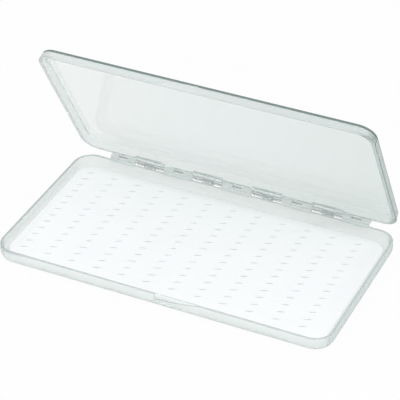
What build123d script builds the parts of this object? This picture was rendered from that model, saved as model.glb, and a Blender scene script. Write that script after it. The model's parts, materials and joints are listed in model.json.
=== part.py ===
from build123d import *
import math
import os

# Slim clear storage box with a foam bed: a base tray and a lid of clear plastic, joined along the
# back by a moulded hinge on one long steel pin. All lengths are in millimetres.
# X runs along the box, Y from the front wall to the hinge, and Z up.
# The origin is the centre of the base tray's underside.

# Base tray
case_length = 186.0
case_depth = 98.0
base_height = 8.4
base_wall = 1.5
base_floor = 1.5
corner_radius = 10.4
base_edge_radius = 4.8
base_inner_edge_radius = 3.3

# Lid, a little smaller all round, with sides that lean in towards its plate
lid_inset = 0.7
lid_height = 5.15
lid_wall = 2.2
lid_plate = 1.1
lid_draft_angle = 5.5
lid_edge_radius = 1.5
lid_inner_chamfer = 0.5
rim_gap = 0.2
rim_chamfer = 0.12
open_angle = 61.25

# Foam bed and the adhesive film under it
film_thickness = 0.2
foam_thickness = 3.0
foam_end_margin = 2.5
foam_front_margin = 2.5
foam_back_margin = 4.7
foam_corner_radius = 8.0
film_inset = 1.0

# Slits in the foam, in straight rows and columns
slit_columns = 12
slit_rows = 13
slit_pitch_x = 14.28
slit_pitch_y = 6.15
slit_shift_x = -3.2
slit_shift_y = -0.5
slit_length = 3.4
slit_width = 0.3
slit_depth = 2.2
slit_angle = 24.0

# Hinge: knuckles in turn on the base and on the lid, round one steel pin
knuckle_count = 9
knuckle_pitch = 17.48
end_knuckle_length = 14.8
knuckle_gap = 0.3
barrel_radius = 2.3
barrel_gap = 0.4
pin_radius = 0.75
pin_clearance = 0.05
pin_cap = 1.2
pin_end_recess = 0.4
shell_lap = 0.6
web_depth = 1.7
window_share = 0.34

# Thumb scoops in the front walls, one each side of the middle, tallest at their inner ends
scoop_length = 24.0
scoop_depth = 0.9
base_scoop_drop = 2.9
base_scoop_x = 0.0
lid_scoop_rise = 3.7
lid_scoop_x = -1.3

# How far a cut runs past the material that it goes through
overrun = 1.0

# Worked out from the sizes above
cavity_length = case_length - 2 * base_wall
cavity_depth = case_depth - 2 * base_wall
lid_bottom = base_height + rim_gap
case_height = lid_bottom + lid_height
hinge_offset = barrel_radius + barrel_gap
hinge_y = case_depth / 2 + hinge_offset
hinge_z = base_height + rim_gap / 2
bore_radius = pin_radius + pin_clearance
hinge_half_length = (knuckle_count / 2 - 1) * knuckle_pitch + end_knuckle_length
hinge_axis = Axis((0, hinge_y, hinge_z), (-1, 0, 0))
base_web_root = hinge_offset + base_wall / 2
lid_web_root = hinge_offset + lid_inset + lid_wall / 2
foam_bottom = base_floor + film_thickness


def edges_at(solid, height):
    """The edges of a solid that lie flat at one height."""
    return solid.edges().filter_by_position(Axis.Z, height, height)


def rounded_block(foot_inset, height, draft_angle=0):
    """A block with rounded upright corners that stands on the XY plane.

    foot_inset is how far its foot lies inside the outline of the case, and draft_angle is how
    far its sides lean outwards from there.
    """
    length = case_length - 2 * foot_inset
    depth = case_depth - 2 * foot_inset
    foot = RectangleRounded(length, depth, corner_radius - foot_inset)
    return extrude(foot, height, taper=-draft_angle)


def open_dish(block, cavity, plate, height):
    """A dish, mouth up: a block with a cavity that leaves a plate, and a chamfered rim."""
    dish = block - Pos(0, 0, plate) * cavity
    return chamfer(edges_at(dish, height), rim_chamfer)


def scoop_cutter(inner_x, outer_x, front_y, rim_z, arc_z):
    """A flat thumb scoop in a front wall, between its rim and a long arc.

    The arc is furthest from the rim at the scoop's inner end, where it reaches arc_z, and it
    meets the rim at the outer end.
    """
    length = abs(outer_x - inner_x)
    rise = arc_z - rim_z
    radius = (length ** 2 + rise ** 2) / (2 * abs(rise))
    arc = Pos(inner_x, arc_z - math.copysign(radius, rise)) * Circle(radius)
    span = Pos((inner_x + outer_x) / 2, rim_z) * Rectangle(length, 2 * abs(rise))
    plane = Plane(origin=(0, front_y + scoop_depth, 0), x_dir=(1, 0, 0), z_dir=(0, -1, 0))
    return extrude(plane * (arc & span), scoop_depth + overrun)


def knuckle_section(web_root, web_side, shell_side):
    """Section of a knuckle about the pin: a half shell and the web that joins it to the wall.

    web_root is how far the web reaches from the pin's axis into the wall, and web_side is -1
    for the base, whose web lies below the pin, and 1 for the lid. shell_side is 1 where the
    half shell is above the pin and -1 where it is below. The half shell is a little more than
    half a ring, so that neighbouring halves join.
    """
    keep_height = barrel_radius + shell_lap
    keep = Pos(0, shell_side * (keep_height / 2 - shell_lap)) * Rectangle(2 * barrel_radius, keep_height)
    web_length = web_root - bore_radius
    web_centre = -(web_root + bore_radius) / 2
    web = Pos(web_centre, web_side * web_depth / 2) * Rectangle(web_length, web_depth)
    return (Circle(barrel_radius) & keep) + web - Circle(bore_radius)


def run_along_x(section, start_x, end_x):
    """A section drawn about the pin's axis, run along the hinge from one x to another."""
    plane = Plane(origin=(start_x, hinge_y, hinge_z), x_dir=(0, 1, 0), z_dir=(1, 0, 0))
    return extrude(plane * section, end_x - start_x)


def knuckle(start_x, end_x, web_root, web_side):
    """One knuckle: half shells above, below and above the pin, on a web from the wall.

    The halves take turns so that each knuckle comes out of a two-part mould, and the pin shows
    through a window on the open side of each half.
    """
    window_length = window_share * knuckle_pitch
    middle = (start_x + end_x) / 2
    window_start = middle - window_length / 2
    window_end = middle + window_length / 2
    above = knuckle_section(web_root, web_side, 1)
    below = knuckle_section(web_root, web_side, -1)
    body = run_along_x(above, start_x, window_start)
    body += run_along_x(below, window_start, window_end)
    body += run_along_x(above, window_end, end_x)
    return body


def knuckle_spans():
    """The start and end of each knuckle along the hinge, from left to right."""
    inner_edges = [(i - knuckle_count / 2) * knuckle_pitch for i in range(1, knuckle_count)]
    edges = [-hinge_half_length] + inner_edges + [hinge_half_length]
    spans = []
    for i in range(knuckle_count):
        start_trim = knuckle_gap / 2 if i > 0 else 0
        end_trim = knuckle_gap / 2 if i < knuckle_count - 1 else 0
        spans.append((edges[i] + start_trim, edges[i + 1] - end_trim))
    return spans


def make_base_tray():
    """The base: a dish with five knuckles on its back wall and a scoop in its front wall."""
    block = rounded_block(0, base_height)
    block = fillet(edges_at(block, 0), base_edge_radius)
    cavity = rounded_block(base_wall, base_height - base_floor + overrun)
    cavity = fillet(edges_at(cavity, 0), base_inner_edge_radius)
    tray = open_dish(block, cavity, base_floor, base_height)
    for start_x, end_x in knuckle_spans()[0::2]:
        tray += knuckle(start_x, end_x, base_web_root, -1)
    cap_start = -hinge_half_length
    tray += run_along_x(Circle(barrel_radius), cap_start, cap_start + pin_cap)
    scoop_end = base_scoop_x + scoop_length
    scoop_foot = base_height - base_scoop_drop
    return tray - scoop_cutter(base_scoop_x, scoop_end, -case_depth / 2, base_height, scoop_foot)


def make_lid():
    """The lid: a shallower dish with four knuckles and its own scoop, swung open on the hinge."""
    spread = math.tan(math.radians(lid_draft_angle))
    block = rounded_block(lid_inset + lid_height * spread, lid_height, lid_draft_angle)
    block = fillet(edges_at(block, 0), lid_edge_radius)
    inner_depth = lid_height - lid_plate
    cavity_foot = lid_inset + lid_wall + inner_depth * spread
    cavity = rounded_block(cavity_foot, inner_depth + overrun, lid_draft_angle)
    cavity = chamfer(edges_at(cavity, 0), lid_inner_chamfer)
    dish = open_dish(block, cavity, lid_plate, lid_height)
    lid = Pos(0, 0, case_height) * Rot(180, 0, 0) * dish
    for start_x, end_x in knuckle_spans()[1::2]:
        lid += knuckle(start_x, end_x, lid_web_root, 1)
    scoop_end = lid_scoop_x - scoop_length
    scoop_top = lid_bottom + lid_scoop_rise
    lid -= scoop_cutter(lid_scoop_x, scoop_end, lid_inset - case_depth / 2, lid_bottom, scoop_top)
    return lid.rotate(hinge_axis, open_angle)


def make_hinge_pin():
    """The steel pin, from the closed end of the first knuckle to just inside the last one."""
    start_x = -hinge_half_length + pin_cap + pin_clearance
    end_x = hinge_half_length - pin_end_recess
    return run_along_x(Circle(pin_radius), start_x, end_x)


def foam_outline(inset):
    """The plan of the foam bed, or of the film under it when drawn in by an inset."""
    length = cavity_length - 2 * foam_end_margin - 2 * inset
    depth = cavity_depth - foam_front_margin - foam_back_margin - 2 * inset
    centre_y = (foam_front_margin - foam_back_margin) / 2
    return Pos(0, centre_y) * RectangleRounded(length, depth, foam_corner_radius - inset)


def make_adhesive_film():
    """The double-sided film that holds the foam to the floor of the tray."""
    return Pos(0, 0, base_floor) * extrude(foam_outline(film_inset), film_thickness)


def slit_blade():
    """A wedge that cuts one slit, its edge at the origin and its mouth above the foam."""
    height = slit_depth + overrun
    half_mouth = slit_width / 2 * height / slit_depth
    wedge = make_face(Polyline((0, 0), (half_mouth, height), (-half_mouth, height), close=True))
    return Rot(0, 0, slit_angle) * extrude(Plane.YZ * wedge, slit_length / 2, both=True)


def make_foam_pad():
    """The foam bed, with its rows of short slanted slits that grip the hooks."""
    slab = Pos(0, 0, foam_bottom) * extrude(foam_outline(0), foam_thickness)
    blade = slit_blade()
    grid = GridLocations(slit_pitch_x, slit_pitch_y, slit_columns, slit_rows)
    slit_foot = Location((slit_shift_x, slit_shift_y, foam_bottom + foam_thickness - slit_depth))
    return slab - [slit_foot * place * blade for place in grid]


PIECES = {
    "base_tray": make_base_tray,
    "lid": make_lid,
    "hinge_pin": make_hinge_pin,
    "adhesive_film": make_adhesive_film,
    "foam_pad": make_foam_pad,
}

os.makedirs("parts", exist_ok=True)
for name, make in PIECES.items():
    export_step(make(), f"parts/{name}.step")
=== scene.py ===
import json
import logging
import math
from dataclasses import dataclass, field, replace
from enum import Enum
from typing import Any

import bmesh
import bpy
from mathutils import Matrix, Vector


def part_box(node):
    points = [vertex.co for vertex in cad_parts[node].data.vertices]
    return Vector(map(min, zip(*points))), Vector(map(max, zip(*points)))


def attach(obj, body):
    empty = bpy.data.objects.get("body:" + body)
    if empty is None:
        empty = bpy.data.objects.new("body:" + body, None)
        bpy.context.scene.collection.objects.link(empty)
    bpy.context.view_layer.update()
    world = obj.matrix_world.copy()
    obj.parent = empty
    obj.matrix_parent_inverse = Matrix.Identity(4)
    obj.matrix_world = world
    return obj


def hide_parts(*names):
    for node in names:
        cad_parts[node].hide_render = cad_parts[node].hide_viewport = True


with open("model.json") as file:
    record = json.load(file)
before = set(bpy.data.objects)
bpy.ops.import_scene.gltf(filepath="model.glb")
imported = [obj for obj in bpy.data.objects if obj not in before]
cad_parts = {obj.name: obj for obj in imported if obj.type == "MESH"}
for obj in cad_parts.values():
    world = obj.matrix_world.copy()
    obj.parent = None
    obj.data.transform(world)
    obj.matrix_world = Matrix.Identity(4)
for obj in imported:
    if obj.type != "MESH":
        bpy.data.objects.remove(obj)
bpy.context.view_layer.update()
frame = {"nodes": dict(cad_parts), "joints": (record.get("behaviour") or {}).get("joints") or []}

Triple = tuple[float, float, float]

MM = 0.001
RIM_HEIGHT = 8.4 * MM
OPEN_ANGLE = math.radians(-frame["joints"][0]["range_deg"][0])
WHITE = (1.0, 1.0, 1.0)

# Which way a band's value rises, as a turn from outwards in the plane of the rim to above it
UP_AND_OUT = math.pi / 4
DOWN_AND_OUT = -math.pi / 4
DOWN = -math.pi / 2

log = logging.getLogger("clear_case")


class Axis(Enum):
    """An axis of the frame."""

    X = "X"
    Y = "Y"
    Z = "Z"


class Ray(Enum):
    """A kind of light ray."""

    CAMERA = "Is Camera Ray"
    DIFFUSE = "Is Diffuse Ray"
    GLOSSY = "Is Glossy Ray"
    SHADOW = "Is Shadow Ray"
    TRANSMISSION = "Is Transmission Ray"


class Carving(Enum):
    """What a tool does to the foam."""

    RAISE = "UNION"
    CUT = "DIFFERENCE"


@dataclass(frozen=True)
class Signal:
    """A shader socket that adds Math nodes when it is used in an expression."""

    tree: "ShaderTree"
    socket: Any

    def _math(self, operation: str, *values: Any) -> "Signal":
        """One Math node on these values, which are numbers or signals."""
        return self.tree.node("ShaderNodeMath", {"operation": operation}, dict(enumerate(values)))

    def __add__(self, other: Any) -> "Signal":
        """self + other."""
        return self._math("ADD", self, other)

    __radd__ = __add__

    def __sub__(self, other: Any) -> "Signal":
        """self - other."""
        return self._math("SUBTRACT", self, other)

    def __rsub__(self, other: Any) -> "Signal":
        """other - self."""
        return self._math("SUBTRACT", other, self)

    def __mul__(self, other: Any) -> "Signal":
        """self * other."""
        return self._math("MULTIPLY", self, other)

    __rmul__ = __mul__

    def __pow__(self, other: Any) -> "Signal":
        """self ** other."""
        return self._math("POWER", self, other)

    def __abs__(self) -> "Signal":
        """self without its sign."""
        return self._math("ABSOLUTE", self)

    def at_most(self, other: Any) -> "Signal":
        """The smaller of self and other."""
        return self._math("MINIMUM", self, other)

    def at_least(self, other: Any) -> "Signal":
        """The larger of self and other."""
        return self._math("MAXIMUM", self, other)


class ShaderTree:
    """The node tree of one material or of the world."""

    def __init__(self, owner: Any) -> None:
        """Clears the owner's nodes.

        Args:
            owner: A material or a world.
        """
        owner.use_nodes = True
        self.tree = owner.node_tree
        self.tree.nodes.clear()

    def node(self, kind: str, settings: dict[str, Any], inputs: dict[Any, Any], output: Any = 0) -> Signal:
        """Adds one node.

        Args:
            kind: The node's type.
            settings: Its properties, which are set first. "stops" fills a colour ramp.
            inputs: Values or signals by socket name or number.
            output: The name or number of the output that is handed back.

        Returns:
            The chosen output, with no socket where the node has none.
        """
        made = self.tree.nodes.new(kind)
        for name, value in settings.items():
            if name == "stops":
                self._fill_ramp(made.color_ramp, value)
            else:
                setattr(made, name, value)
        for name, value in inputs.items():
            if isinstance(value, Signal):
                self.tree.links.new(value.socket, made.inputs[name])
            else:
                made.inputs[name].default_value = value
        return Signal(self, made.outputs[output] if made.outputs else None)

    @staticmethod
    def _fill_ramp(ramp: Any, stops: list[tuple[float, Triple]]) -> None:
        """Gives a colour ramp its stops.

        Args:
            ramp: The ramp, which starts with two stops.
            stops: Position and colour of each stop, in order.
        """
        while len(ramp.elements) < len(stops):
            ramp.elements.new(1.0)
        for element, (position, colour) in zip(ramp.elements, stops):
            element.position = position
            element.color = (*colour, 1.0)

    def finish(self, kind: str, surface: Signal, volume: Signal | None = None) -> None:
        """Joins the result to the output node.

        Args:
            kind: The output node's type.
            surface: The surface shader.
            volume: The volume shader, where there is one.
        """
        inputs = {"Surface": surface}
        if volume is not None:
            inputs["Volume"] = volume
        self.node(kind, {}, inputs)

    def mix(self, share: Signal | float, first: Signal, second: Signal) -> Signal:
        """The first shader where the share is 0, and the second where it is 1."""
        return self.node("ShaderNodeMixShader", {}, {0: share, 1: first, 2: second})

    def ray(self, *kinds: Ray) -> Signal:
        """Tells rays of some kinds from the others.

        Args:
            kinds: One kind or more.

        Returns:
            1 for rays of these kinds and 0 for the others.
        """
        found, *others = [self.node("ShaderNodeLightPath", {}, {}, kind.value) for kind in kinds]
        for other in others:
            found = found.at_least(other)
        return found

    def place(self, stretch: Triple = (1.0, 1.0, 1.0)) -> Signal:
        """Object coordinates.

        Args:
            stretch: How much they are stretched along each axis.

        Returns:
            The coordinates.
        """
        where = self.node("ShaderNodeTexCoord", {}, {}, "Object")
        return self.node("ShaderNodeMapping", {}, {"Vector": where, "Scale": stretch})

    def coordinate(self, axis: Axis) -> Signal:
        """Each point's place on one axis."""
        return self.node("ShaderNodeSeparateXYZ", {}, {"Vector": self.place()}, axis.value)

    def along(self, direction: Triple) -> Signal:
        """How far each point lies from the origin along a direction of length 1."""
        inputs = {0: self.place(), 1: direction}
        return self.node("ShaderNodeVectorMath", {"operation": "DOT_PRODUCT"}, inputs, "Value")


@dataclass(frozen=True)
class Grain:
    """Noise between 0 and 1 over a surface, its scale in cells per metre."""

    scale: float
    detail: float
    roughness: float = 0.5
    stretch: Triple = (1.0, 1.0, 1.0)

    def value(self, tree: ShaderTree) -> Signal:
        """The noise at each point.

        Args:
            tree: The material's node tree.

        Returns:
            The noise.
        """
        inputs = {
            "Vector": tree.place(self.stretch),
            "Scale": self.scale,
            "Detail": self.detail,
            "Roughness": self.roughness,
        }
        return tree.node("ShaderNodeTexNoise", {}, inputs)


@dataclass(frozen=True)
class Relief:
    """How strongly a height from 0 to 1 bumps a surface, and what a full step of it measures."""

    strength: float
    step: float

    def normal(self, tree: ShaderTree, height: Signal) -> Signal:
        """The bumped normal.

        Args:
            tree: The material's node tree.
            height: The height at each point.

        Returns:
            The normal.
        """
        inputs = {"Height": height, "Strength": self.strength, "Distance": self.step}
        return tree.node("ShaderNodeBump", {}, inputs)


@dataclass(frozen=True)
class ShadeRamp:
    """A painted shade that changes evenly along one axis of a piece."""

    axis: Axis
    start: float
    end: float
    start_colour: Triple
    end_colour: Triple

    def colour(self, tree: ShaderTree) -> Signal:
        """The painted shade at each point.

        Args:
            tree: The material's node tree.

        Returns:
            The colour.
        """
        share = (tree.coordinate(self.axis) - self.start) * (1.0 / (self.end - self.start))
        stops = [(0.0, self.start_colour), (1.0, self.end_colour)]
        return tree.node("ShaderNodeValToRGB", {"stops": stops}, {"Fac": share})


@dataclass(frozen=True)
class Fade:
    """A value that rises evenly from nothing at its start to its top where it is full.

    Both places are distances from a side.
    """

    start: float
    full: float
    top: float = 1.0

    def level(self, distance: Signal, side: float) -> Signal:
        """The value at each point.

        Args:
            distance: How far each point lies along the fade's direction.
            side: Where the side lies along it.

        Returns:
            The value, 0 before the start and the top value past the full distance.
        """
        share = (distance - (side + self.start)) * (1.0 / (self.full - self.start))
        return share.at_least(0.0).at_most(1.0) * self.top


@dataclass(frozen=True)
class Rise:
    """A fade along one axis of a piece, from one of its sides."""

    axis: Axis
    side: float
    fade: Fade

    def level(self, tree: ShaderTree) -> Signal:
        """The value at each point."""
        return self.fade.level(tree.coordinate(self.axis), self.side)


@dataclass(frozen=True)
class RimOutline:
    """The rounded outline of a moulding's rim, in the plane of that rim.

    Its near and far ends are at distances from the middle of the hinge's axis.
    """

    hinge: Vector
    open_angle: float
    half_length: float
    near_end: float
    far_end: float
    corner_radius: float

    def drawn_in(self, inset: float, open_angle: float) -> "RimOutline":
        """The outline of another rim on the same hinge.

        Args:
            inset: How far it lies inside this one.
            open_angle: How far it is swung open.

        Returns:
            The outline.
        """
        return replace(
            self,
            open_angle=open_angle,
            half_length=self.half_length - inset,
            near_end=self.near_end + inset,
            far_end=self.far_end - inset,
            corner_radius=self.corner_radius - inset,
        )

    def outwards(self, tree: ShaderTree) -> Signal:
        """How far each point lies outside the outline, less than 0 for points inside it.

        Args:
            tree: The material's node tree.

        Returns:
            The distance, measured in the plane of the rim.
        """
        forwards = (0.0, -math.cos(self.open_angle), math.sin(self.open_angle))
        middle = self.hinge.dot(forwards) + (self.near_end + self.far_end) / 2
        straight_side = self.half_length - self.corner_radius
        straight_end = (self.far_end - self.near_end) / 2 - self.corner_radius
        past_side = (abs(tree.coordinate(Axis.X)) - straight_side).at_least(0.0)
        past_end = (abs(tree.along(forwards) - middle) - straight_end).at_least(0.0)
        return (past_side ** 2.0 + past_end ** 2.0) ** 0.5 - self.corner_radius

    def above(self, tree: ShaderTree) -> Signal:
        """How far each point lies above the hinge's axis, with the rim's plane laid level."""
        facing = (0.0, math.sin(self.open_angle), math.cos(self.open_angle))
        return tree.along(facing) - self.hinge.dot(facing)

    def above_far_end(self, height: float) -> float:
        """How far a height in the frame lies above the far end of the outline."""
        return height - self.hinge.z - self.far_end * math.sin(self.open_angle)


@dataclass(frozen=True)
class EdgeBand:
    """A fade in a narrow band that follows one edge of a moulding all round.

    The fade rises in the direction that lean gives, and the run says where along the piece the
    band shows.
    """

    outline: RimOutline
    lean: float
    side: float
    fade: Fade
    run: Rise

    def level(self, tree: ShaderTree) -> Signal:
        """The value at each point.

        Args:
            tree: The material's node tree.

        Returns:
            The value, 0 away from the edge and where the run is 0.
        """
        out, above = self.outline.outwards(tree), self.outline.above(tree)
        distance = out * math.cos(self.lean) + above * math.sin(self.lean)
        return self.fade.level(distance, self.side) * self.run.level(tree)


@dataclass(frozen=True)
class ClearPlastic:
    """Clear moulded styrene: polished, faintly green-grey where light travels far through it, with painted
    shade in its base colour and a dark tone mixed in at a slant and in painted shade zones.
    """

    name: str
    # Painted shade: the base colour, darker towards one end of the piece
    shade_ramp: ShadeRamp
    milk: float
    roughness: float
    absorb_density: float
    deep_power: float
    # Painted shade: zones where the dark tone is mixed in, for darker walls and dark lines along edges
    painted_shade_zones: tuple[Rise | EdgeBand, ...]
    milk_zones: tuple[Rise | EdgeBand, ...]
    # The dark tone mixed in at a slant and in the painted shade zones
    slant_and_shade_colour: Triple = (0.40, 0.485, 0.468)
    deep_edges: float = 1.0
    absorb_colour: Triple = (0.42, 0.56, 0.53)
    milk_colour: Triple = (0.97, 1.0, 0.993)
    shadow_tint: Triple = (0.96, 0.975, 0.97)
    ior: float = 1.55
    haze: float = 0.03
    swirl: Grain = Grain(35.0, 2.0, 0.45, (1.0, 2.5, 2.5))
    ripple: Grain = Grain(160.0, 1.0)
    relief: Relief = Relief(0.02, 0.1 * MM)

    def milkiness(self, tree: ShaderTree) -> Signal | float:
        """The milky share, more in the zones where the mould is left satin.

        Args:
            tree: The material's node tree.

        Returns:
            The share.
        """
        share = self.milk
        for zone in self.milk_zones:
            share = zone.level(tree).at_least(share)
        return share

    def depth(self, tree: ShaderTree) -> Signal:
        """How much of the dark tone is mixed in: most where light crosses the plastic at a slant, and painted
        shade in its zones.

        Args:
            tree: The material's node tree.

        Returns:
            The share of the dark tone, painted shade included.
        """
        slant = tree.node("ShaderNodeLayerWeight", {}, {"Blend": 0.5}, "Facing")
        share = (slant ** self.deep_power) * self.deep_edges
        for zone in self.painted_shade_zones:
            share = share.at_least(zone.level(tree))
        return share

    @staticmethod
    def cloudy(tree: ShaderTree, colour: Triple) -> Signal:
        """Plastic that scatters light, half of it back and half of it on.

        Args:
            tree: The material's node tree.
            colour: Its colour.

        Returns:
            The shader.
        """
        back = tree.node("ShaderNodeBsdfDiffuse", {}, {"Color": (*colour, 1.0)})
        onwards = tree.node("ShaderNodeBsdfTranslucent", {}, {"Color": (*colour, 1.0)})
        return tree.mix(0.5, back, onwards)

    def build(self) -> bpy.types.Material:
        """Makes the material.

        Returns:
            The material.
        """
        material = bpy.data.materials.new(self.name)
        tree = ShaderTree(material)
        inputs = {
            # The base colour carries painted shade along one axis
            "Base Color": self.shade_ramp.colour(tree),
            "Roughness": self.swirl.value(tree) * self.haze + self.roughness,
            "IOR": self.ior,
            "Transmission Weight": 1.0,
            "Normal": self.relief.normal(tree, self.ripple.value(tree)),
        }
        glassy = tree.node("ShaderNodeBsdfPrincipled", {}, inputs)
        glassy = tree.mix(self.milkiness(tree), glassy, self.cloudy(tree, self.milk_colour))
        # A dark cloudy shader mixed in at a slant and as painted shade in the zones
        glassy = tree.mix(self.depth(tree), glassy, self.cloudy(tree, self.slant_and_shade_colour))
        clear = tree.node("ShaderNodeBsdfTransparent", {}, {"Color": (*self.shadow_tint, 1.0)})
        surface = tree.mix(tree.ray(Ray.SHADOW, Ray.DIFFUSE), glassy, clear)
        absorb = {"Color": (*self.absorb_colour, 1.0), "Density": self.absorb_density}
        volume = tree.node("ShaderNodeVolumeAbsorption", {}, absorb)
        tree.finish("ShaderNodeOutputMaterial", surface, volume)
        return material


@dataclass(frozen=True)
class FoamSkin:
    """White closed-cell foam with a fine grain."""

    name: str = "white_foam"
    colour: Triple = (0.865, 0.88, 0.895)
    colour_from: float = 0.3
    pale: Triple = (0.90, 0.91, 0.925)
    pale_from: float = 0.75
    cells: Grain = Grain(2600.0, 3.0, 0.6)
    cells_share: float = 0.6
    clouds: Grain = Grain(60.0, 2.0)
    relief: Relief = Relief(0.35, 0.12 * MM)
    roughness: float = 0.85
    gloss: float = 0.25

    def build(self) -> bpy.types.Material:
        """Makes the material.

        Returns:
            The material.
        """
        material = bpy.data.materials.new(self.name)
        tree = ShaderTree(material)
        cells = self.cells.value(tree)
        grain = cells * self.cells_share + self.clouds.value(tree) * (1.0 - self.cells_share)
        stops = [(self.colour_from, self.colour), (self.pale_from, self.pale)]
        inputs = {
            "Base Color": tree.node("ShaderNodeValToRGB", {"stops": stops}, {"Fac": grain}),
            "Roughness": self.roughness,
            "Specular IOR Level": self.gloss,
            "Normal": self.relief.normal(tree, cells),
        }
        skin = tree.node("ShaderNodeBsdfPrincipled", {}, inputs)
        tree.finish("ShaderNodeOutputMaterial", skin)
        return material


@dataclass(frozen=True)
class DrawnSteel:
    """Bright drawn steel wire, with fine lines along its length."""

    name: str = "drawn_steel"
    colour: Triple = (0.43, 0.44, 0.44)
    lines: Grain = Grain(9000.0, 2.0, stretch=(0.02, 1.0, 1.0))
    relief: Relief = Relief(0.2, 0.02 * MM)
    roughness: float = 0.3
    rougher: float = 0.18

    def build(self) -> bpy.types.Material:
        """Makes the material.

        Returns:
            The material.
        """
        material = bpy.data.materials.new(self.name)
        tree = ShaderTree(material)
        lines = self.lines.value(tree)
        inputs = {
            "Base Color": (*self.colour, 1.0),
            "Metallic": 1.0,
            "Roughness": lines * self.rougher + self.roughness,
            "Normal": self.relief.normal(tree, lines),
        }
        steel = tree.node("ShaderNodeBsdfPrincipled", {}, inputs)
        tree.finish("ShaderNodeOutputMaterial", steel)
        return material


@dataclass(frozen=True)
class FilmSheet:
    """The adhesive film, a milky sheet with faint bubbles."""

    name: str = "adhesive_film"
    colour: Triple = (0.86, 0.86, 0.84)
    colour_from: float = 0.35
    pale: Triple = (0.9, 0.9, 0.885)
    pale_from: float = 0.7
    bubbles: Grain = Grain(400.0, 2.0)
    relief: Relief = Relief(0.2, 0.05 * MM)
    roughness: float = 0.5

    def build(self) -> bpy.types.Material:
        """Makes the material.

        Returns:
            The material.
        """
        material = bpy.data.materials.new(self.name)
        tree = ShaderTree(material)
        bubbles = self.bubbles.value(tree)
        stops = [(self.colour_from, self.colour), (self.pale_from, self.pale)]
        inputs = {
            "Base Color": tree.node("ShaderNodeValToRGB", {"stops": stops}, {"Fac": bubbles}),
            "Roughness": self.roughness,
            "Normal": self.relief.normal(tree, bubbles),
        }
        film = tree.node("ShaderNodeBsdfPrincipled", {}, inputs)
        tree.finish("ShaderNodeOutputMaterial", film)
        return material


def dress(piece: bpy.types.Object, material: bpy.types.Material) -> None:
    """Gives all of a piece one material."""
    piece.data.materials.clear()
    piece.data.materials.append(material)


def to_object(name: str, mesh: bmesh.types.BMesh) -> bpy.types.Object:
    """Makes an object of a finished bmesh.

    Args:
        name: The piece's name.
        mesh: The bmesh, which is freed.

    Returns:
        The object, linked to the scene.
    """
    data = bpy.data.meshes.new(name)
    mesh.to_mesh(data)
    mesh.free()
    made = bpy.data.objects.new(name, data)
    bpy.context.scene.collection.objects.link(made)
    return made


def hinge_middle() -> Vector:
    """The middle of the hinge's axis."""
    low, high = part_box("hinge_pin")
    return (low + high) / 2


@dataclass
class ClearTray:
    """The clear tray, which keeps its CAD shape, with painted shade that makes it a little darker to the
    right and painted dark lines at its rim.
    """

    node: str = "base_tray"
    corner_radius: float = 10.4 * MM
    # Painted shade: the plastic is painted a little darker from the left end to the right
    painted_left_colour: Triple = WHITE
    painted_shade_right: Triple = (0.93, 0.955, 0.945)

    # From the right end; the first fade is painted shade that darkens the end
    painted_shade_end: Fade = Fade(-2.0 * MM, -1.0 * MM, 0.36)
    satin_end: Fade = Fade(-1.2 * MM, -0.6 * MM, 0.8)

    # From the height of the rim; painted shade that darkens the rim's face
    painted_shade_rim: Fade = Fade(-0.3 * MM, -0.05 * MM, 0.16)

    # From the front of the hinge pin
    satin_knuckles: Fade = Fade(-2.0 * MM, -1.4 * MM, 0.75)

    # A painted dark line along the rim's outer edge, and where that line shows from the left end
    painted_rim_line: Fade = Fade(-0.8 * MM, -0.6 * MM, 0.6)
    painted_rim_line_run: Fade = Fade(25.0 * MM, 8.0 * MM)

    def outline(self) -> RimOutline:
        """The outline of the tray's rim, which is centred on the frame's origin.

        Returns:
            The outline.
        """
        low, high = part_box(self.node)
        hinge = hinge_middle()
        return RimOutline(hinge, 0.0, high.x, hinge.y + low.y, hinge.y - low.y, self.corner_radius)

    def plastic(self) -> ClearPlastic:
        """The tray's plastic, satin at its knuckles and over its right end, with painted shade at its right
        end, on its rim and in a dark line along its outer edge.

        Returns:
            The plastic.
        """
        low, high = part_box(self.node)
        painted_line_run = Rise(Axis.X, low.x, self.painted_rim_line_run)
        return ClearPlastic(
            name="clear_tray",
            # Painted shade in the base colour, darker to the right
            shade_ramp=ShadeRamp(Axis.X, low.x, high.x, self.painted_left_colour, self.painted_shade_right),
            milk=0.42,
            roughness=0.07,
            absorb_density=35.0,
            deep_power=3.5,
            # Painted shade: a darker right end, a darker rim face and a painted dark line along the rim's
            # outer edge
            painted_shade_zones=(
                Rise(Axis.X, high.x, self.painted_shade_end),
                Rise(Axis.Z, RIM_HEIGHT, self.painted_shade_rim),
                EdgeBand(self.outline(), UP_AND_OUT, 0.0, self.painted_rim_line, painted_line_run),
            ),
            milk_zones=(
                Rise(Axis.Y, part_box("hinge_pin")[0].y, self.satin_knuckles),
                Rise(Axis.X, high.x, self.satin_end),
            ),
        )

    def build(self) -> None:
        """Dresses the tray."""
        dress(frame["nodes"][self.node], self.plastic().build())
        log.info("%s dressed", self.node)


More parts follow.
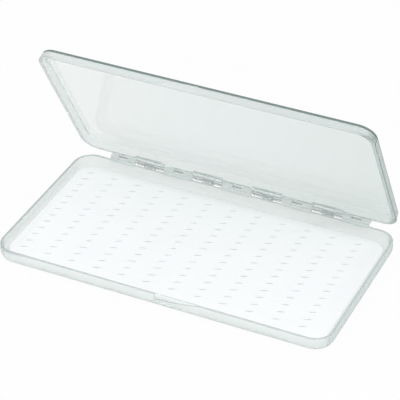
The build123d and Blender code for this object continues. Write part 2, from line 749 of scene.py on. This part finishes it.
@dataclass
class ClearLid:
    """The clear lid, which keeps its CAD shape, with painted shade that makes it darker to the right and
    painted dark lines along its top edge and rim.
    """

    node: str = "lid"
    tray: ClearTray = field(default_factory=ClearTray)
    inset: float = 0.7 * MM
    # Painted shade: the plastic is painted darker from the left end to the right
    painted_left_colour: Triple = (0.985, 0.995, 0.995)
    painted_shade_right: Triple = (0.82, 0.878, 0.863)

    # From the right end; the first fade is painted shade that darkens the end
    painted_shade_end: Fade = Fade(-6.0 * MM, -2.0 * MM, 0.13)
    right_run: Fade = Fade(-12.0 * MM, -4.0 * MM)

    # From the left end
    satin_end: Fade = Fade(6.0 * MM, 4.0 * MM, 0.3)
    left_run: Fade = Fade(14.0 * MM, 6.0 * MM)

    # From the front of the hinge pin
    satin_knuckles: Fade = Fade(-2.0 * MM, -1.0 * MM, 0.22)

    # From the top of the open lid; the last fade is a painted dark line along the top edge
    satin_front: Fade = Fade(-4.0 * MM, -3.0 * MM, 0.5)
    top_run: Fade = Fade(-16.0 * MM, -5.0 * MM)
    painted_top_line: Fade = Fade(-0.38 * MM, -0.28 * MM, 0.88)

    # Painted dark lines along the rim's outer edge at the right and left ends, and painted shade and a satin
    # band on the face of the rim at the left
    painted_right_line: Fade = Fade(-0.55 * MM, -0.35 * MM, 0.4)
    painted_left_line: Fade = Fade(-0.6 * MM, -0.4 * MM, 0.32)
    painted_left_rim: Fade = Fade(-0.35 * MM, -0.2 * MM, 0.17)
    satin_rim: Fade = Fade(-0.35 * MM, -0.2 * MM, 0.7)

    def plastic(self) -> ClearPlastic:
        """The lid's plastic, satin at its knuckles, its left end and its front wall, with painted shade at
        its right end and painted dark lines along its top edge and rim.

        Returns:
            The plastic.
        """
        low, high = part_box(self.node)
        outline = self.tray.outline().drawn_in(self.inset, OPEN_ANGLE)
        straight_up = math.pi / 2 - OPEN_ANGLE
        top_run = Rise(Axis.Z, high.z, self.top_run)
        right_run = Rise(Axis.X, high.x, self.right_run)
        left_run = Rise(Axis.X, low.x, self.left_run)
        return ClearPlastic(
            name="clear_lid",
            # Painted shade in the base colour, darker to the right
            shade_ramp=ShadeRamp(Axis.X, low.x, high.x, self.painted_left_colour, self.painted_shade_right),
            milk=0.12,
            roughness=0.11,
            absorb_density=66.0,
            # The dark tone mixed in at a slant and for the painted shade
            slant_and_shade_colour=(0.22, 0.285, 0.27),
            deep_edges=0.22,
            deep_power=8.0,
            # Painted shade: a darker right end and painted dark lines along the top edge and the rim
            painted_shade_zones=(
                Rise(Axis.X, high.x, self.painted_shade_end),
                EdgeBand(outline, straight_up, outline.above_far_end(high.z), self.painted_top_line, top_run),
                EdgeBand(outline, DOWN, 0.0, self.painted_left_rim, left_run),
                EdgeBand(outline, DOWN_AND_OUT, 0.0, self.painted_left_line, left_run),
                EdgeBand(outline, DOWN_AND_OUT, 0.0, self.painted_right_line, right_run),
            ),
            milk_zones=(
                Rise(Axis.X, low.x, self.satin_end),
                Rise(Axis.Y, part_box("hinge_pin")[0].y, self.satin_knuckles),
                Rise(Axis.Z, high.z, self.satin_front),
                EdgeBand(outline, DOWN, 0.0, self.satin_rim, left_run),
            ),
        )

    def build(self) -> None:
        """Dresses the lid."""
        dress(frame["nodes"][self.node], self.plastic().build())
        log.info("%s dressed", self.node)


@dataclass
class HingePin:
    """The long steel pin of the hinge."""

    node: str = "hinge_pin"
    steel: DrawnSteel = field(default_factory=DrawnSteel)

    def build(self) -> None:
        """Dresses the pin."""
        dress(frame["nodes"][self.node], self.steel.build())
        log.info("%s dressed", self.node)


@dataclass
class FoamBed:
    """The slit foam sheet and the film under it.

    The slits lie in straight rows and columns, each slit with a raised lip along its far side.
    """

    corner_radius: float = 8.0 * MM
    corner_segments: int = 12
    edge_rounding: float = 0.35 * MM
    edge_segments: int = 2
    columns: int = 12
    rows: int = 13
    pitch_x: float = 14.28 * MM
    pitch_y: float = 6.15 * MM
    centre_x: float = -3.2 * MM
    centre_y: float = -0.5 * MM
    slit_length: float = 4.8 * MM
    slit_gape: float = 0.45 * MM
    slit_depth: float = 1.3 * MM
    slit_turn: float = math.radians(20.0)
    slit_sides: int = 8
    lip_length_share: float = 0.9
    lip_width: float = 1.3 * MM
    lip_rise: float = 0.26 * MM
    lip_offset: float = 0.62 * MM
    lip_subdivisions: int = 2
    crease_angle: float = math.radians(38.0)
    skin: FoamSkin = field(default_factory=FoamSkin)
    film: FilmSheet = field(default_factory=FilmSheet)

    def slab(self) -> bpy.types.Object:
        """The plain sheet with rounded corners and soft edges.

        Returns:
            The sheet.
        """
        low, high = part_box("foam_pad")
        size, middle = high - low, (low + high) / 2
        mesh = bmesh.new()
        bmesh.ops.create_cube(mesh, size=1.0)
        bmesh.ops.scale(mesh, vec=size, verts=mesh.verts)
        bmesh.ops.translate(mesh, vec=middle, verts=mesh.verts)
        upright = [e for e in mesh.edges if abs(e.verts[0].co.z - e.verts[1].co.z) > size.z / 2]
        bmesh.ops.bevel(mesh, geom=upright, offset=self.corner_radius, offset_type="OFFSET",
                        segments=self.corner_segments, profile=0.5, affect="EDGES", material=-1)
        top = [e for e in mesh.edges if min(v.co.z for v in e.verts) > middle.z]
        bmesh.ops.bevel(mesh, geom=top, offset=self.edge_rounding, offset_type="OFFSET",
                        segments=self.edge_segments, profile=0.5, affect="EDGES", material=-1)
        return to_object("foam_pad_slit", mesh)

    def slit_places(self) -> list[Matrix]:
        """Where each slit is cut, in the foam's top face.

        Returns:
            One matrix a slit, its X along the slit.
        """
        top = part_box("foam_pad")[1].z
        turn = Matrix.Rotation(self.slit_turn, 4, Axis.Z.value)
        places = []
        for column in range(self.columns):
            x = self.centre_x + (column - (self.columns - 1) / 2) * self.pitch_x
            for row in range(self.rows):
                y = self.centre_y + (row - (self.rows - 1) / 2) * self.pitch_y
                places.append(Matrix.Translation((x, y, top)) @ turn)
        return places

    def blades(self) -> bpy.types.Object:
        """The lens-shaped cutters of all the slits, drums 1 wide and 2 high before they are scaled.

        Returns:
            One object.
        """
        mesh = bmesh.new()
        size = Matrix.Diagonal((self.slit_length, self.slit_gape, self.slit_depth, 1.0))
        for place in self.slit_places():
            bmesh.ops.create_cone(mesh, cap_ends=True, segments=self.slit_sides, radius1=0.5,
                                  radius2=0.5, depth=2.0, matrix=place @ size)
        bmesh.ops.recalc_face_normals(mesh, faces=mesh.faces)
        return to_object("blades", mesh)

    def lips(self) -> bpy.types.Object:
        """The raised lips beside all the slits, balls 1 wide before they are scaled.

        Returns:
            One object.
        """
        mesh = bmesh.new()
        length = self.slit_length * self.lip_length_share
        size = Matrix.Diagonal((length, self.lip_width, self.lip_rise * 2, 1.0))
        beside = Matrix.Translation((0.0, self.lip_offset, 0.0))
        for place in self.slit_places():
            bmesh.ops.create_icosphere(mesh, subdivisions=self.lip_subdivisions, radius=0.5,
                                       matrix=place @ beside @ size)
        return to_object("lips", mesh)

    @staticmethod
    def carve(pad: bpy.types.Object, tool: bpy.types.Object, carving: Carving) -> None:
        """Changes the foam with a tool, which is then removed.

        Args:
            pad: The foam.
            tool: The shape that is added to it or cut out of it.
            carving: Which of the two.
        """
        change = pad.modifiers.new(tool.name, "BOOLEAN")
        change.operation = carving.value
        change.solver = "EXACT"
        change.use_self = carving is Carving.RAISE
        change.object = tool
        shaped = bpy.data.meshes.new_from_object(pad.evaluated_get(bpy.context.evaluated_depsgraph_get()))
        pad.modifiers.clear()
        pad.data = shaped
        bpy.data.objects.remove(tool)

    def build(self) -> None:
        """Raises the lips, cuts the slits and dresses the foam and the film."""
        pad, lips, blades = self.slab(), self.lips(), self.blades()
        self.carve(pad, lips, Carving.RAISE)
        self.carve(pad, blades, Carving.CUT)
        pad.data.shade_smooth()
        pad.data.set_sharp_from_angle(angle=self.crease_angle)
        dress(pad, self.skin.build())
        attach(pad, "base")
        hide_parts("foam_pad")
        log.info("foam bed: %d slits, %d faces", self.columns * self.rows, len(pad.data.polygons))
        dress(frame["nodes"]["adhesive_film"], self.film.build())
        log.info("adhesive_film dressed")


@dataclass(frozen=True)
class Lamp:
    """A large square soft lamp that faces the object. Its size is a side, and its power is in watts."""

    name: str
    place: Triple
    size: float
    power: float

    def build(self) -> None:
        """Hangs the lamp."""
        data = bpy.data.lights.new(self.name, "AREA")
        data.size = self.size
        data.energy = self.power
        lamp = bpy.data.objects.new(self.name, data)
        lamp.location = self.place
        lamp.rotation_euler = (-Vector(self.place)).to_track_quat("-Z", "Y").to_euler()
        bpy.context.scene.collection.objects.link(lamp)


@dataclass
class Studio:
    """A pale floor, soft lamps and a plain room."""

    floor_size: float = 6.0
    floor_gap: float = 0.05 * MM
    floor_colour: Triple = (0.80, 0.80, 0.80)
    floor_glow: float = 0.92
    horizon: float = 0.9
    zenith: float = 0.95
    climb: float = 0.7
    lamps: tuple[Lamp, ...] = (
        Lamp("softbox_left", (-0.6, -0.3, 1.2), 0.8, 1.2),
        Lamp("softbox_right", (0.9, -0.2, 1.1), 0.7, 1.8),
        Lamp("softbox_front", (0.1, -1.2, 0.6), 0.7, 2.5),
    )

    def floor(self) -> None:
        """The floor, white to the eye but for the object's shadow."""
        mesh = bmesh.new()
        below = Matrix.Translation((0.0, 0.0, -self.floor_gap))
        bmesh.ops.create_grid(mesh, x_segments=1, y_segments=1, size=self.floor_size / 2, matrix=below)
        floor = to_object("floor", mesh)
        material = bpy.data.materials.new("pale_floor")
        tree = ShaderTree(material)
        matt = tree.node("ShaderNodeBsdfDiffuse", {}, {"Color": (*self.floor_colour, 1.0)})
        glow = tree.node("ShaderNodeEmission", {}, {"Color": (*WHITE, 1.0), "Strength": 1.0})
        seen = tree.ray(Ray.CAMERA, Ray.GLOSSY, Ray.TRANSMISSION)
        tree.finish("ShaderNodeOutputMaterial", tree.mix(seen * self.floor_glow, matt, glow))
        dress(floor, material)

    def room(self) -> None:
        """The world: white to the eye, a soft grey room with a bright ceiling to everything else."""
        world = bpy.data.worlds.new("room")
        bpy.context.scene.world = world
        tree = ShaderTree(world)
        where = tree.node("ShaderNodeTexCoord", {}, {}, "Generated")
        up = tree.node("ShaderNodeSeparateXYZ", {}, {"Vector": where}, Axis.Z.value)
        level = (up.at_least(0.0) ** self.climb) * (self.zenith - self.horizon) + self.horizon
        strength = level + tree.ray(Ray.CAMERA) * (1.0 - level)
        glow = tree.node("ShaderNodeBackground", {}, {"Color": (*WHITE, 1.0), "Strength": strength})
        tree.finish("ShaderNodeOutputWorld", glow)

    def build(self) -> None:
        """Sets the stage and the light."""
        self.floor()
        self.room()
        for lamp in self.lamps:
            lamp.build()
        log.info("studio set")


@dataclass
class Viewpoint:
    """The photograph's viewpoint, measured about the middle of the tray's rim."""

    azimuth: float = math.radians(25.959)
    elevation: float = math.radians(35.392)
    roll: float = math.radians(-0.790)
    distance: float = 0.97320
    slide_right: float = 0.001872
    slide_up: float = 0.021091
    focal_px: float = 1882.53
    frame_px: float = 400.0
    sensor_mm: float = 36.0

    def build(self) -> None:
        """Places the camera."""
        level = math.cos(self.elevation)
        towards = (math.sin(self.azimuth) * level, -math.cos(self.azimuth) * level, math.sin(self.elevation))
        back = Vector(towards)
        right = (-back).cross(Vector((0.0, 0.0, 1.0))).normalized()
        up = right.cross(-back)
        turned_right = right * math.cos(self.roll) + up * math.sin(self.roll)
        turned_up = up * math.cos(self.roll) - right * math.sin(self.roll)
        place = back * self.distance + turned_right * self.slide_right + turned_up * self.slide_up
        place.z += RIM_HEIGHT
        data = bpy.data.cameras.new("photo_view")
        data.sensor_width = self.sensor_mm
        data.lens = self.focal_px * self.sensor_mm / self.frame_px
        camera = bpy.data.objects.new("photo_view", data)
        turn = Matrix((turned_right, turned_up, back)).transposed().to_4x4()
        camera.matrix_world = Matrix.Translation(place) @ turn
        bpy.context.scene.collection.objects.link(camera)
        bpy.context.scene.camera = camera
        log.info("camera placed, lens %.1f mm", data.lens)


def main() -> None:
    """Builds the whole scene."""
    logging.basicConfig(level=logging.INFO)
    bpy.context.scene.view_settings.view_transform = "Standard"
    Viewpoint().build()
    ClearTray().build()
    ClearLid().build()
    HingePin().build()
    FoamBed().build()
    Studio().build()


if __name__ == "__main__":
    main()
